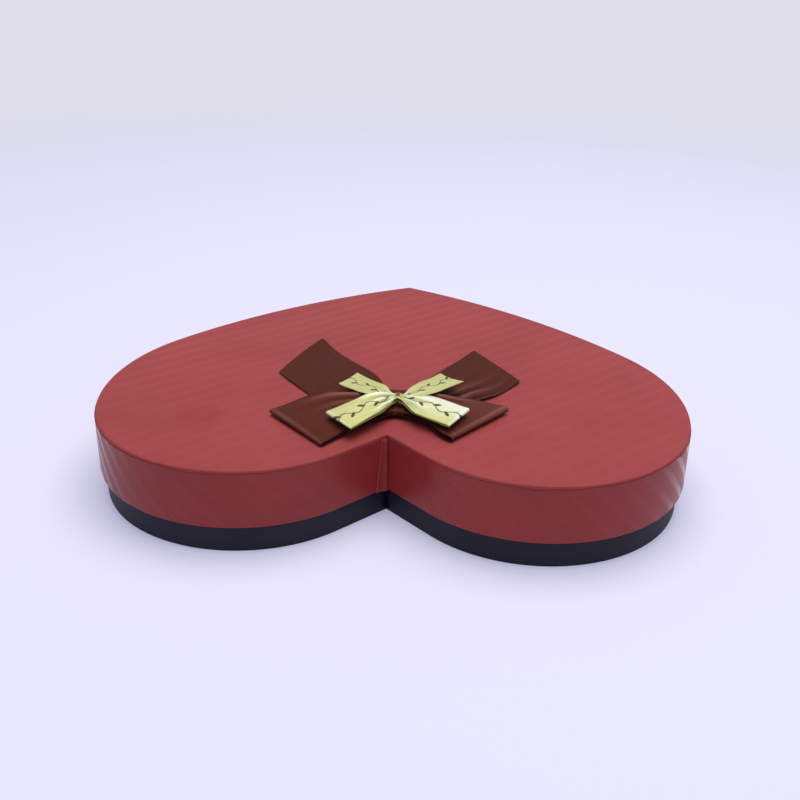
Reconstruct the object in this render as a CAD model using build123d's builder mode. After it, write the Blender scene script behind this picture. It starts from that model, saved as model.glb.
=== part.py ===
"""Heart-shaped gift box: a paper-covered board base, a lift-off lid and a double ribbon bow.

Millimetres, +Z up. The origin is the middle of the box's footprint on the table.
The two lobes and the cleft face -Y, the pointed tip faces +Y.
"""

import math
import os

from build123d import *

# Heart outline of the lid, outside its paper
heart_width = 250.0
heart_depth = 204.0
lobe_front_allowance = 0.5
lobe_side_allowance = 24.5
lobe_join_angle = -10.5
flank_radius = 302.0
shoulder_angle = 45.3

# Heights of the closed box
box_height = 37.0
lid_rim_height = 11.7

# Sheet goods
paper = 0.2
wall_board = 1.2
panel_board = 2.0
lid_clearance = 0.5
lid_seat_gap = 0.1

# Paper turn-ins
top_turn_down = 8.0
side_wrap_drop = 1.2
lid_turn_in = 9.0
base_turn_in = 12.0
base_turn_under = 10.0
lining_margin = 0.6

# Overlap strip in the cleft, measured along the left wall from the corner
strip_bottom = 5.2
strip_top = 2.2
strip_right_share = 0.25
strip_inner_share = 0.92

# Ribbons
ribbon_thickness = 0.4
ribbon_gap = 0.1
knot_margin = 1.0
opening_share = 0.42
crest_share = 0.4
gather_fold_count = 4
gather_fold_width = 2.6
gather_fold_rise = 0.9

brown_width = 35.0
brown_gather = 20.0
brown_knot_shift = 2.5
brown_knot_setback = 23.7
brown_layer_pitch = 1.2
brown_crest = 5.2
brown_fold_top = 3.4
brown_fold_bottom = 0.8
brown_tail_low = 0.7
brown_tail_end = 1.4
band_width = 9.0
band_thickness = 0.4

yellow_width = 16.0
yellow_gather = 7.0
yellow_knot_shift = 3.0
yellow_knot_setback = 20.7
yellow_layer_pitch = 0.8
yellow_crest = 8.3
yellow_fold_top = 7.2
yellow_fold_bottom = 5.8
yellow_tail_high = 6.2
yellow_tail_end = 4.6
tie_width = 2.0
tie_thickness = 0.3

dab_thickness = 0.5
brown_dab_size = 14.0
yellow_dab_size = 6.0

# How far each bow half reaches from its knot
brown_loop_left_reach = 46.8
brown_loop_right_reach = 38.2
brown_tail_left_reach = 64.9
brown_tail_right_reach = 60.3
yellow_loop_left_reach = 31.8
yellow_loop_right_reach = 31.0
yellow_tail_left_reach = 30.5
yellow_tail_right_reach = 32.7

# Each bow half: reach, bearing of the reach, bearing of the end edge
brown_loop_left = (brown_loop_left_reach, 211.5, 133.0)
brown_loop_right = (brown_loop_right_reach, -23.0, 50.0)
brown_tail_left = (brown_tail_left_reach, 135.6, 68.8)
brown_tail_right = (brown_tail_right_reach, 45.4, 123.8)
yellow_loop_left = (yellow_loop_left_reach, 225.5, 133.9)
yellow_loop_right = (yellow_loop_right_reach, -31.6, 61.0)
yellow_tail_left = (yellow_tail_left_reach, 138.7, 67.6)
yellow_tail_right = (yellow_tail_right_reach, 47.2, 130.0)

# Derived: each lobe fills half of the heart's width
lobe_front_radius = heart_width / 4 + lobe_front_allowance
lobe_side_radius = heart_width / 4 + lobe_side_allowance

# Derived: insets from the lid's outer face, going inwards
top_flap_inset = paper
lid_wall_inset = 2 * paper
lid_wall_inner = lid_wall_inset + wall_board
lid_lining_inset = lid_wall_inner + paper + lining_margin
base_inset = lid_wall_inner + paper + lid_clearance
base_wall_inset = base_inset + paper
base_wall_inner = base_wall_inset + wall_board
base_lining_inset = base_wall_inner + paper

# Derived: heights
board_top = box_height - paper
board_bottom = board_top - panel_board
lid_lining_bottom = board_bottom - paper
base_rim = lid_lining_bottom - lid_seat_gap
base_wall_top = base_rim - paper
base_wall_bottom = 2 * paper
base_floor = base_wall_bottom + panel_board
lining_floor = base_floor + paper


def radians(angle):
    return math.radians(angle)


# Arc centres of the right half of the outline
lobe_step = lobe_side_radius - lobe_front_radius
side_x = heart_width / 2 - lobe_side_radius
front_centre = Vector(
    side_x + lobe_step * math.cos(radians(lobe_join_angle)),
    lobe_front_radius - heart_depth / 2,
)
side_centre = Vector(side_x, front_centre.Y - lobe_step * math.sin(radians(lobe_join_angle)))
tip = Vector(0, heart_depth / 2)


def flank_arc_centre():
    # The flank arc passes through the tip and runs on from the side arc without a corner
    reach_side = flank_radius - lobe_side_radius
    between = tip - side_centre
    span = between.length
    along = (reach_side**2 - flank_radius**2 + span**2) / (2 * span)
    across = math.sqrt(reach_side**2 - along**2)
    unit = between.normalized()
    return side_centre + unit * along + Vector(-unit.Y, unit.X) * across


flank_centre = flank_arc_centre()
flank_start = math.degrees(
    math.atan2(side_centre.Y - flank_centre.Y, side_centre.X - flank_centre.X)
)
shoulder_normal = Vector(-math.cos(radians(shoulder_angle)), -math.sin(radians(shoulder_angle)))
shoulder_run = Vector(math.sin(radians(shoulder_angle)), -math.cos(radians(shoulder_angle)))


def shoulder_end(inset):
    return front_centre + shoulder_normal * (lobe_front_radius - inset)


def cleft_point(inset):
    end = shoulder_end(inset)
    return end - shoulder_run * (end.X / shoulder_run.X)


def heart(inset):
    # The lid's outline moved inwards by the inset, as a face
    flank_end = math.degrees(math.acos(-flank_centre.X / (flank_radius - inset)))
    front_start = shoulder_angle - 180
    with BuildSketch() as face:
        with BuildLine():
            Line(cleft_point(inset), shoulder_end(inset))
            CenterArc(
                front_centre,
                lobe_front_radius - inset,
                front_start,
                lobe_join_angle - front_start,
            )
            CenterArc(
                side_centre,
                lobe_side_radius - inset,
                lobe_join_angle,
                flank_start - lobe_join_angle,
            )
            CenterArc(flank_centre, flank_radius - inset, flank_start, flank_end - flank_start)
            mirror(about=Plane.YZ)
        make_face()
    return face.sketch


def level(height):
    return Plane.XY.offset(height)


# Base
with BuildPart() as base_bottom_sheet:
    with BuildSketch(level(0)):
        add(heart(base_wall_inset))
    extrude(amount=paper)

with BuildPart() as base_bottom_board:
    with BuildSketch(level(base_wall_bottom)):
        add(heart(base_wall_inner))
    extrude(amount=panel_board)

with BuildPart() as base_wall_right:
    with BuildSketch(level(base_wall_bottom)):
        add(heart(base_wall_inset))
        add(heart(base_wall_inner), mode=Mode.SUBTRACT)
    extrude(amount=base_wall_top - base_wall_bottom)
    split(bisect_by=Plane.YZ, keep=Keep.TOP)

with BuildPart() as base_wall_left:
    with BuildSketch(level(base_wall_bottom)):
        add(heart(base_wall_inset))
        add(heart(base_wall_inner), mode=Mode.SUBTRACT)
    extrude(amount=base_wall_top - base_wall_bottom)
    split(bisect_by=Plane.YZ, keep=Keep.BOTTOM)

with BuildPart() as base_side_wrap:
    # Turned under the bottom, up the outside, over the rim and down the inside
    with BuildSketch(level(paper)):
        add(heart(base_inset))
        add(heart(base_inset + base_turn_under), mode=Mode.SUBTRACT)
    extrude(amount=paper)
    with BuildSketch(level(paper)):
        add(heart(base_inset))
        add(heart(base_wall_inset), mode=Mode.SUBTRACT)
    extrude(amount=base_rim - paper)
    with BuildSketch(level(base_wall_top)):
        add(heart(base_inset))
        add(heart(base_lining_inset), mode=Mode.SUBTRACT)
    extrude(amount=paper)
    with BuildSketch(level(base_rim - base_turn_in)):
        add(heart(base_wall_inner))
        add(heart(base_lining_inset), mode=Mode.SUBTRACT)
    extrude(amount=base_turn_in)

with BuildPart() as base_floor_lining:
    with BuildSketch(level(base_floor)):
        add(heart(base_wall_inner))
    extrude(amount=paper)

with BuildPart() as base_wall_lining:
    with BuildSketch(level(lining_floor)):
        add(heart(base_wall_inner))
        add(heart(base_lining_inset), mode=Mode.SUBTRACT)
    extrude(amount=base_rim - base_turn_in - lining_floor)

# Lid
with BuildPart() as lid_top_board:
    with BuildSketch(level(board_bottom)):
        add(heart(lid_wall_inner))
    extrude(amount=panel_board)

with BuildPart() as lid_wall_right:
    with BuildSketch(level(lid_rim_height + paper)):
        add(heart(lid_wall_inset))
        add(heart(lid_wall_inner), mode=Mode.SUBTRACT)
    extrude(amount=board_top - lid_rim_height - paper)
    split(bisect_by=Plane.YZ, keep=Keep.TOP)

with BuildPart() as lid_wall_left:
    with BuildSketch(level(lid_rim_height + paper)):
        add(heart(lid_wall_inset))
        add(heart(lid_wall_inner), mode=Mode.SUBTRACT)
    extrude(amount=board_top - lid_rim_height - paper)
    split(bisect_by=Plane.YZ, keep=Keep.BOTTOM)

with BuildPart() as lid_top_wrap:
    with BuildSketch(level(board_top)):
        add(heart(top_flap_inset))
    extrude(amount=paper)
    with BuildSketch(level(box_height - top_turn_down)):
        add(heart(top_flap_inset))
        add(heart(lid_wall_inset), mode=Mode.SUBTRACT)
    extrude(amount=top_turn_down)

with BuildPart() as lid_side_wrap:
    # Over the outside, under the lower edge and up the inside
    with BuildSketch(level(lid_rim_height)):
        add(heart(0))
        add(heart(top_flap_inset), mode=Mode.SUBTRACT)
    extrude(amount=box_height - side_wrap_drop - lid_rim_height)
    with BuildSketch(level(lid_rim_height)):
        add(heart(top_flap_inset))
        add(heart(lid_wall_inset), mode=Mode.SUBTRACT)
    extrude(amount=box_height - top_turn_down - lid_rim_height)
    with BuildSketch(level(lid_rim_height)):
        add(heart(0))
        add(heart(lid_wall_inner + paper), mode=Mode.SUBTRACT)
    extrude(amount=paper)
    with BuildSketch(level(lid_rim_height)):
        add(heart(lid_wall_inner))
        add(heart(lid_wall_inner + paper), mode=Mode.SUBTRACT)
    extrude(amount=lid_turn_in)

with BuildPart() as lid_lining:
    with BuildSketch(level(lid_lining_bottom)):
        add(heart(lid_lining_inset))
    extrude(amount=paper)


def strip_section(left):
    # Across the inner corner, from the left wall to the right wall
    corner = cleft_point(0)
    on_left = Vector(-shoulder_run.X, shoulder_run.Y) * left
    on_right = shoulder_run * (left * strip_right_share)
    return [
        corner + on_left,
        corner + on_right,
        corner + on_right * strip_inner_share,
        corner + on_left * strip_inner_share,
    ]


with BuildPart() as lid_cleft_strip:
    with BuildSketch(level(lid_rim_height)):
        with BuildLine():
            Polyline(*strip_section(strip_bottom), close=True)
        make_face()
    with BuildSketch(level(box_height - side_wrap_drop)):
        with BuildLine():
            Polyline(*strip_section(strip_top), close=True)
        make_face()
    loft(ruled=True)

# Heights of the bow's layers at its knot, counted up from the lid
half_sheet = ribbon_thickness / 2
band_bottom = dab_thickness
brown_tail_level = band_bottom + band_thickness + ribbon_gap + half_sheet
brown_under_level = brown_tail_level + brown_layer_pitch
brown_over_level = brown_under_level + brown_layer_pitch
band_top = brown_over_level + half_sheet + ribbon_gap + band_thickness
tie_bottom = band_top + dab_thickness
yellow_tail_level = tie_bottom + tie_thickness + ribbon_gap + half_sheet
yellow_under_level = yellow_tail_level + yellow_layer_pitch
yellow_over_level = yellow_under_level + yellow_layer_pitch
tie_top = yellow_over_level + half_sheet + ribbon_gap + tie_thickness
bow_top = yellow_crest + ribbon_thickness

# The knots sit behind the cleft
cleft = cleft_point(0)
brown_knot = (brown_knot_shift, cleft.Y + brown_knot_setback)
yellow_knot = (yellow_knot_shift, cleft.Y + yellow_knot_setback)

up = Vector(0, 0, 1)


def polar(length, bearing):
    return Vector(length * math.cos(radians(bearing)), length * math.sin(radians(bearing)))


def flat_run(knot_width, gather):
    # Level stretch of a layer on each side of the knot, long enough to meet the other half
    return knot_width / 2 + gather / 2


def side_plane(half, knot, across):
    # Upright plane along a bow half: X is the distance from the knot, Y the height over the lid
    way = polar(1, half[1])
    start = Vector(*knot, box_height) - across
    return Plane(origin=start, x_dir=way, z_dir=way.cross(up))


def plan_outline(half, knot, width, gather, knot_width, past_end):
    # Gathered at the knot, then opening to the ribbon's full width
    reach, bearing, edge = half
    middle = Vector(*knot)
    way = polar(1, bearing)
    half_edge = polar(width / 2 / abs(math.sin(radians(edge - bearing))), edge)
    outwards = Vector(math.copysign(1, way.X), 0)
    pinch = Vector(0, gather / 2)
    straight = middle + outwards * (knot_width / 2 + knot_margin)
    opening = middle + way * (reach * opening_share)
    end = middle + way * (reach + past_end)
    with BuildSketch() as face:
        with BuildLine():
            for side in (1, -1):
                Line(middle, middle + pinch * side)
                Line(middle + pinch * side, straight + pinch * side)
                Spline(
                    straight + pinch * side,
                    opening + half_edge * side,
                    tangents=(outwards, way),
                )
                Line(opening + half_edge * side, end + half_edge * side)
                Line(end + half_edge * side, end)
        make_face()
    return face.sketch


def loop_half(half, knot, width, gather, knot_width, over, crest, fold_top, fold_bottom, under):
    # Out over the crest, round the fold at the end and back underneath
    reach, bearing, edge = half
    flat = flat_run(knot_width, gather)
    top = flat + (reach - flat) * crest_share
    fold = (fold_top - fold_bottom) / 2
    across = polar(width, edge)
    outline = plan_outline(half, knot, width, gather, knot_width, ribbon_thickness)
    with BuildPart() as loop:
        with BuildSketch(side_plane(half, knot, across)):
            with BuildLine():
                upper = FilletPolyline(
                    (-flat, over),
                    (flat, over),
                    (top, crest),
                    (reach - fold, fold_top),
                    radius=width / 2,
                )
                TangentArc((reach - fold, fold_top), (reach - fold, fold_bottom), tangent=upper % 1)
                Polyline((reach - fold, fold_bottom), (flat, under), (-flat, under), (-flat, over))
            make_face()
            offset(amount=half_sheet)
            offset(amount=-ribbon_thickness, mode=Mode.SUBTRACT)
        extrude(amount=2 * width, dir=across.normalized())
        with BuildSketch(level(box_height)):
            add(outline)
        extrude(amount=bow_top, mode=Mode.INTERSECT)
    return loop.part


def tail_half(half, knot, width, gather, knot_width, heights):
    # From the knot outwards to a cut end
    reach, bearing, edge = half
    flat = flat_run(knot_width, gather)
    start, bend, end = heights
    across = polar(width, bearing + 90)
    outline = plan_outline(half, knot, width, gather, knot_width, 0)
    with BuildPart() as tail:
        with BuildSketch(side_plane(half, knot, across)):
            with BuildLine() as path:
                FilletPolyline(
                    (-flat, start),
                    (flat, start),
                    (flat + (reach - flat) * crest_share, bend),
                    (reach + width, end),
                    radius=width,
                )
            trace(path.edges(), line_width=ribbon_thickness)
        extrude(amount=2 * width, dir=across.normalized())
        with BuildSketch(level(box_height)):
            add(outline)
        extrude(amount=bow_top, mode=Mode.INTERSECT)
    return tail.part


def gather_folds(half, knot, width, gather, knot_width, over, crest):
    # Creases that fan out from the pinch and run out where the ribbon lies flat
    reach, bearing, edge = half
    across = polar(1, edge)
    way = polar(1, bearing)
    flat = flat_run(knot_width, gather)
    run_out = flat + (reach - flat) * crest_share * 0.9
    rise = over + (crest - over) * 0.9
    beside_knot = knot[0] + math.copysign(knot_width / 2 + knot_margin, way.X)
    foot = Plane(origin=(beside_knot, knot[1], box_height), x_dir=(0, 1, 0), z_dir=(1, 0, 0))
    with BuildPart() as folds:
        for i in range(gather_fold_count):
            share = (i + 0.5) / gather_fold_count - 0.5
            base = share * gather * 0.8
            spread = share * width * 0.8
            with BuildSketch(foot, mode=Mode.PRIVATE) as start:
                with BuildLine():
                    Polyline(
                        (base - gather_fold_width / 2, over),
                        (base + gather_fold_width / 2, over),
                        (base, over + half_sheet + gather_fold_rise),
                        close=True,
                    )
                make_face()
            apex = Vector(*knot, box_height + rise) + way * run_out + across * spread
            loft(sections=[start.sketch, Vertex(*apex)])
    return folds.part


with BuildPart() as brown_tail_ribbon:
    for half in (brown_tail_left, brown_tail_right):
        heights = (brown_tail_level, brown_tail_low, brown_tail_end)
        add(tail_half(half, brown_knot, brown_width, brown_gather, band_width, heights))

with BuildPart() as brown_loop_ribbon:
    for half in (brown_loop_left, brown_loop_right):
        place = (half, brown_knot, brown_width, brown_gather, band_width)
        add(
            loop_half(
                *place,
                brown_over_level,
                brown_crest,
                brown_fold_top,
                brown_fold_bottom,
                brown_under_level,
            )
        )
        add(gather_folds(*place, brown_over_level, brown_crest))

with BuildPart() as yellow_tail_ribbon:
    for half in (yellow_tail_left, yellow_tail_right):
        heights = (yellow_tail_level, yellow_tail_high, yellow_tail_end)
        add(tail_half(half, yellow_knot, yellow_width, yellow_gather, tie_width, heights))

with BuildPart() as yellow_loop_ribbon:
    for half in (yellow_loop_left, yellow_loop_right):
        place = (half, yellow_knot, yellow_width, yellow_gather, tie_width)
        add(
            loop_half(
                *place,
                yellow_over_level,
                yellow_crest,
                yellow_fold_top,
                yellow_fold_bottom,
                yellow_under_level,
            )
        )


def ring_plane(knot, width):
    return Plane(
        origin=(knot[0] - width / 2, knot[1], box_height), x_dir=(0, 1, 0), z_dir=(1, 0, 0)
    )


def ring_sketch(depth, bottom, top, thickness):
    # A flat band round a knot, seen along the ribbon
    with BuildSketch() as ring:
        with Locations((0, (top + bottom) / 2)):
            RectangleRounded(depth + 2 * thickness, top - bottom, thickness + ribbon_gap)
            Rectangle(depth, top - bottom - 2 * thickness, mode=Mode.SUBTRACT)
    return ring.sketch


with BuildPart() as brown_centre_band:
    with BuildSketch(ring_plane(brown_knot, band_width)):
        add(ring_sketch(brown_gather + 2 * ribbon_gap, band_bottom, band_top, band_thickness))
    extrude(amount=band_width)

with BuildPart() as yellow_tie:
    with BuildSketch(ring_plane(yellow_knot, tie_width)):
        add(ring_sketch(yellow_gather + 2 * ribbon_gap, tie_bottom, tie_top, tie_thickness))
    extrude(amount=tie_width)

with BuildPart() as brown_glue_dab:
    with BuildSketch(level(box_height)):
        with Locations(brown_knot):
            Ellipse(band_width / 2, brown_dab_size / 2)
    extrude(amount=dab_thickness)

with BuildPart() as yellow_glue_dab:
    with BuildSketch(level(box_height + band_top)):
        with Locations(yellow_knot):
            Circle(yellow_dab_size / 2)
    extrude(amount=dab_thickness)

pieces = {
    "base_bottom_sheet": base_bottom_sheet,
    "base_bottom_board": base_bottom_board,
    "base_wall_left": base_wall_left,
    "base_wall_right": base_wall_right,
    "base_side_wrap": base_side_wrap,
    "base_floor_lining": base_floor_lining,
    "base_wall_lining": base_wall_lining,
    "lid_top_board": lid_top_board,
    "lid_wall_left": lid_wall_left,
    "lid_wall_right": lid_wall_right,
    "lid_top_wrap": lid_top_wrap,
    "lid_side_wrap": lid_side_wrap,
    "lid_lining": lid_lining,
    "lid_cleft_strip": lid_cleft_strip,
    "brown_tail_ribbon": brown_tail_ribbon,
    "brown_loop_ribbon": brown_loop_ribbon,
    "brown_centre_band": brown_centre_band,
    "yellow_tail_ribbon": yellow_tail_ribbon,
    "yellow_loop_ribbon": yellow_loop_ribbon,
    "yellow_tie": yellow_tie,
    "brown_glue_dab": brown_glue_dab,
    "yellow_glue_dab": yellow_glue_dab,
}

os.makedirs("parts", exist_ok=True)
for name, piece in pieces.items():
    piece.part.label = name
    export_step(piece.part, f"parts/{name}.step")
    print(name, len(piece.part.solids()), round(piece.part.volume, 1))
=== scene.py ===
import math

import bmesh
import bpy
from mathutils import Matrix, Vector, noise


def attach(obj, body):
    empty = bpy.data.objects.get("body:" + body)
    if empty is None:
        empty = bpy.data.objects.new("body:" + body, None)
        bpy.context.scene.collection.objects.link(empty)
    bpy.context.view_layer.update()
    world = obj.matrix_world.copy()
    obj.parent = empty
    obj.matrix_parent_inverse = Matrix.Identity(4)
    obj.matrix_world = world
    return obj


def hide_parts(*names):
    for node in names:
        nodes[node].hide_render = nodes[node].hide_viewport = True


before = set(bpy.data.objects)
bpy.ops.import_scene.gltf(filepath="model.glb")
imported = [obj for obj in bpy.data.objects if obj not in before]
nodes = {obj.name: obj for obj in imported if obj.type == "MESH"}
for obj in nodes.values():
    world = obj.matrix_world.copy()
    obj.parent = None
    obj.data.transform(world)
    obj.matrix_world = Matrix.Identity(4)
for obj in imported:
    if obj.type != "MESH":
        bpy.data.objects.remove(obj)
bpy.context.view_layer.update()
mm = 0.001
print("frame loaded:", len(nodes), "CAD nodes")


def tone(red, green, blue):
    # a colour as a screen shows it, 0 to 255, made linear
    made = []
    for part in (red, green, blue):
        share = part / 255
        made.append(share / 12.92 if share <= 0.04045 else ((share + 0.055) / 1.055) ** 2.4)
    return (*made, 1.0)


def turn(angle):
    return Vector((math.cos(math.radians(angle)), math.sin(math.radians(angle))))


def smooth(low, high, value):
    share = min(max((value - low) / (high - low), 0.0), 1.0)
    return share * share * (3 - 2 * share)


# Camera where the photographer stood, in metres and degrees
cameraSetup = {
    "place": (0.0258, -0.4518, 0.2433),
    "heading": (-0.0537, 0.9986),
    "pitch": 26.31,
    "roll": -1.0815,
    "lens": 49.22,
    "sensor": 36.0,
    "near": 0.01,
}


def addCamera(setup):
    pitch = math.radians(setup["pitch"])
    roll = math.radians(setup["roll"])
    headX, headY = setup["heading"]
    forward = Vector((headX * math.cos(pitch), headY * math.cos(pitch), -math.sin(pitch)))
    right = Vector((headY, -headX, 0)).normalized()
    up = right.cross(forward)
    leanRight = right * math.cos(roll) - up * math.sin(roll)
    leanUp = right * math.sin(roll) + up * math.cos(roll)
    bpy.ops.object.select_all(action="DESELECT")
    bpy.ops.object.camera_add()
    camera = bpy.context.object
    turned = Matrix((leanRight, leanUp, -forward)).transposed().to_4x4()
    camera.matrix_world = Matrix.Translation(setup["place"]) @ turned
    camera.data.lens = setup["lens"]
    camera.data.sensor_width = setup["sensor"]
    camera.data.clip_start = setup["near"]
    bpy.context.scene.camera = camera


addCamera(cameraSetup)
print("camera placed")


# Small helpers for shader nodes
def addNode(tree, kind, **settings):
    made = tree.nodes.new(kind)
    for name, value in settings.items():
        setattr(made, name, value)
    return made


def plug(tree, socket, value):
    if isinstance(value, bpy.types.NodeSocket):
        tree.links.new(value, socket)
    elif value is not None:
        socket.default_value = value


def fill(tree, made, values):
    for label, value in values.items():
        plug(tree, made.inputs[label], value)


def calc(tree, operation, first, second=None, third=None):
    made = addNode(tree, "ShaderNodeMath", operation=operation)
    for socket, value in zip(made.inputs, (first, second, third)):
        plug(tree, socket, value)
    return made.outputs[0]


def mixColour(tree, share, first, second, blend="MIX"):
    made = addNode(tree, "ShaderNodeMix", data_type="RGBA", blend_type=blend)
    plug(tree, made.inputs[0], share)
    plug(tree, made.inputs[6], first)
    plug(tree, made.inputs[7], second)
    return made.outputs[2]


def rampTo(tree, value, low, high, outLow=0.0, outHigh=1.0):
    made = addNode(tree, "ShaderNodeMapRange", interpolation_type="SMOOTHSTEP")
    fill(tree, made, {"Value": value, "From Min": low, "From Max": high, "To Min": outLow, "To Max": outHigh})
    return made.outputs[0]


def grain(tree, place, scale, detail=2.0, rough=0.5):
    made = addNode(tree, "ShaderNodeTexNoise")
    fill(tree, made, {"Vector": place, "Scale": scale, "Detail": detail, "Roughness": rough})
    return made.outputs["Fac"]


def objectPlace(tree):
    return addNode(tree, "ShaderNodeTexCoord").outputs["Object"]


def split(tree, place):
    made = addNode(tree, "ShaderNodeSeparateXYZ")
    tree.links.new(place, made.inputs[0])
    return made.outputs


def attributeValue(tree, name):
    return addNode(tree, "ShaderNodeAttribute", attribute_name=name).outputs["Fac"]


def uvPlace(tree):
    return addNode(tree, "ShaderNodeUVMap", uv_map="ribbonMap").outputs["UV"]


def bumpFrom(tree, height, distance):
    made = addNode(tree, "ShaderNodeBump")
    fill(tree, made, {"Height": height, "Distance": distance, "Strength": 1.0})
    return made.outputs["Normal"]


def newMaterial(name):
    made = bpy.data.materials.new(name)
    made.use_nodes = True
    tree = made.node_tree
    return made, tree, tree.nodes["Principled BSDF"]


floatKind, placeKind = "NodeSocketFloat", "NodeSocketVector"


def newGroup(name, inputs, outputs):
    group = bpy.data.node_groups.new(name, "ShaderNodeTree")
    for label, kind in inputs.items():
        group.interface.new_socket(name=label, in_out="INPUT", socket_type=kind)
    for label in outputs:
        group.interface.new_socket(name=label, in_out="OUTPUT", socket_type=floatKind)
    start = group.nodes.new("NodeGroupInput")
    end = group.nodes.new("NodeGroupOutput")
    return group, start, end


def useGroup(tree, group, **values):
    made = addNode(tree, "ShaderNodeGroup", node_tree=group)
    fill(tree, made, values)
    return made


def makePaperGrain():
    # fibres and soft blotches of covering paper
    group, start, end = newGroup("paperGrain", {"Place": placeKind}, ["Fibre", "Blotch"])
    place = start.outputs["Place"]
    fine = grain(group, place, 1900.0, 3.0, 0.6)
    coarse = grain(group, place, 420.0)
    fibre = calc(group, "MULTIPLY_ADD", fine, 0.6, calc(group, "MULTIPLY", coarse, 0.4))
    fill(group, end, {"Fibre": fibre, "Blotch": grain(group, place, 26.0, 3.0)})
    return group


def makeStripes():
    # alternate matt and satin bands; Across counts the pairs of bands
    group, start, end = newGroup("foilStripes", {"Across": floatKind, "Place": placeKind}, ["Satin"])
    waver = calc(group, "SUBTRACT", grain(group, start.outputs["Place"], 90.0), 0.5)
    across = calc(group, "MULTIPLY_ADD", waver, 0.12, start.outputs["Across"])
    wave = calc(group, "SINE", calc(group, "MULTIPLY", across, 2 * math.pi))
    fill(group, end, {"Satin": rampTo(group, wave, 0.1, 0.8)})
    return group


# Pitches and closed edge of the satin, in metres
weaveSetup = {
    "ribPitch": 0.00042,
    "pickPitch": 0.0011,
    "streaks": (60.0, 2600.0, 1.0),
    "edge": (0.0011, 0.0003),
}


def makeWeave(setup):
    # satin threads: long floats along the ribbon, a fine rib across, closed edges
    inputs = {"Map": placeKind, "Half Width": floatKind}
    group, start, end = newGroup("satinWeave", inputs, ["Thread", "Edge", "Streak"])
    place = start.outputs["Map"]
    along, across, _ = split(group, place)
    rib = calc(group, "SINE", calc(group, "MULTIPLY", across, 2 * math.pi / setup["ribPitch"]))
    pick = calc(group, "SINE", calc(group, "MULTIPLY", along, 2 * math.pi / setup["pickPitch"]))
    stretched = addNode(group, "ShaderNodeMapping")
    fill(group, stretched, {"Vector": place, "Scale": setup["streaks"]})
    inside = calc(group, "SUBTRACT", start.outputs["Half Width"], calc(group, "ABSOLUTE", across))
    fill(group, end, {
        "Thread": calc(group, "MULTIPLY_ADD", pick, 0.35, rib),
        "Edge": rampTo(group, inside, *setup["edge"]),
        "Streak": grain(group, stretched.outputs[0], 1.0),
    })
    return group


paperGrain = makePaperGrain()
foilStripes = makeStripes()
satinWeave = makeWeave(weaveSetup)

redTopLook = {
    "matt": tone(154, 64, 63),
    "satin": tone(155, 66, 65),
    # darker red used for the smudge and for the painted shade on the fold
    "edge": tone(124, 34, 35),
    "worn": tone(205, 150, 150),
    "pitch": 0.0075,
    "turn": 42.0,
    "blotch": (0.94, 1.05),
    "rough": 0.55,
    "satinRough": -0.01,
    "satinHeight": 0.25,
    "turned": (0.5, 0.65),
    "coat": (0.003, 0.04),
    "plainCoat": 0.0,
    "coatRough": 0.4,
    "specular": 0.13,
    "foldShade": 0.06,
    "nicks": 0.4,
    "smudge": (-0.0775, -0.0575, 0.037),
    "smudgeReach": (0.016, 0.002),
    "smudgeShade": 0.5,
}
# the varnish of the side shows the pale table, and its bands only where the wall turns away
redSideLook = {
    "matt": tone(142, 41, 41),
    "satin": tone(143, 43, 43),
    # darker red for the painted shadow line along the cut edge
    "edge": tone(124, 34, 35),
    "worn": tone(205, 150, 150),
    "pitch": 0.008,
    "blotch": (0.93, 1.05),
    "rough": 0.54,
    "satinRough": -0.06,
    "satinHeight": 0.5,
    "turned": (0.48, 0.9),
    "coat": (0.012, 0.6),
    "plainCoat": 0.42,
    "coatRough": 0.24,
    "specular": 0.1,
    "foldShade": 0.8,
    "rubbed": 0.35,
}


def stripedPaper(tree, shader, look, place, across):
    # sets the gloss and height of the bands and gives back their colour
    bands = useGroup(tree, foilStripes, Across=across, Place=place).outputs["Satin"]
    fibres = useGroup(tree, paperGrain, Place=place)
    fibre = fibres.outputs["Fibre"]
    rough = calc(tree, "MULTIPLY_ADD", bands, look["satinRough"], look["rough"])
    height = calc(tree, "MULTIPLY_ADD", bands, look["satinHeight"], fibre)
    # the satin bands show more where the paper is seen edge-on
    facing = addNode(tree, "ShaderNodeLayerWeight").outputs["Facing"]
    catching = calc(tree, "MULTIPLY", bands, rampTo(tree, facing, *look["turned"], *look["coat"]))
    fill(tree, shader, {
        "Roughness": calc(tree, "MULTIPLY_ADD", fibre, 0.08, rough),
        "Normal": bumpFrom(tree, height, 0.00006),
        "Coat Weight": calc(tree, "ADD", catching, look["plainCoat"]),
        "Coat Roughness": look["coatRough"],
        "Specular IOR Level": look["specular"],
    })
    colour = mixColour(tree, bands, look["matt"], look["satin"])
    blotch = rampTo(tree, fibres.outputs["Blotch"], 0.3, 0.7, *look["blotch"])
    grey = addNode(tree, "ShaderNodeCombineColor")
    for socket in grey.inputs:
        tree.links.new(blotch, socket)
    return mixColour(tree, 1.0, colour, grey.outputs[0], "MULTIPLY")


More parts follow.
